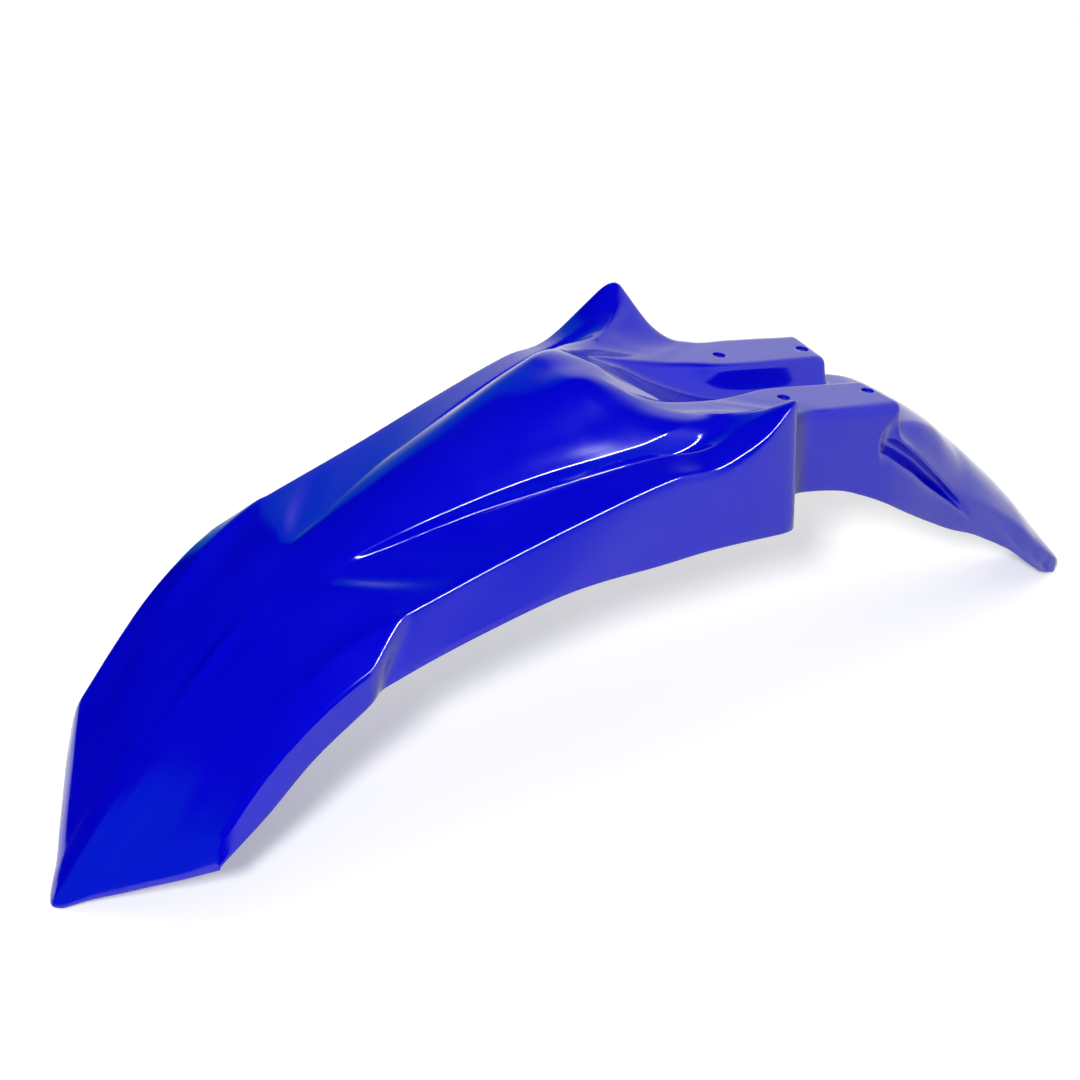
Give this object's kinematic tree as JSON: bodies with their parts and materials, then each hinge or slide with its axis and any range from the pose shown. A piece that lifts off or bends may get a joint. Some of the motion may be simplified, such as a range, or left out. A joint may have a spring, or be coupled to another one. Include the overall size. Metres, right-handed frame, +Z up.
{
  "type": "motorcycle front mudguard",
  "caption": "One-piece high front mudguard for an off-road motorcycle: a moulded shell with a pointed nose, raised wings, flat bolt pads and a narrow tail.",
  "frame": {"origin": "centre of the four bolt holes, on the flat top of the mount pads", "axes": "+X forward to the nose, +Y to the rider's left, +Z up and square to the pads"},
  "size_m": [0.7348, 0.2166, 0.3348],
  "materials": {
    "mudguard": "smooth moulded gloss blue polypropylene"
  },
  "bodies": {
    "root": {"mudguard": "mudguard"}
  },
  "joints": []
}
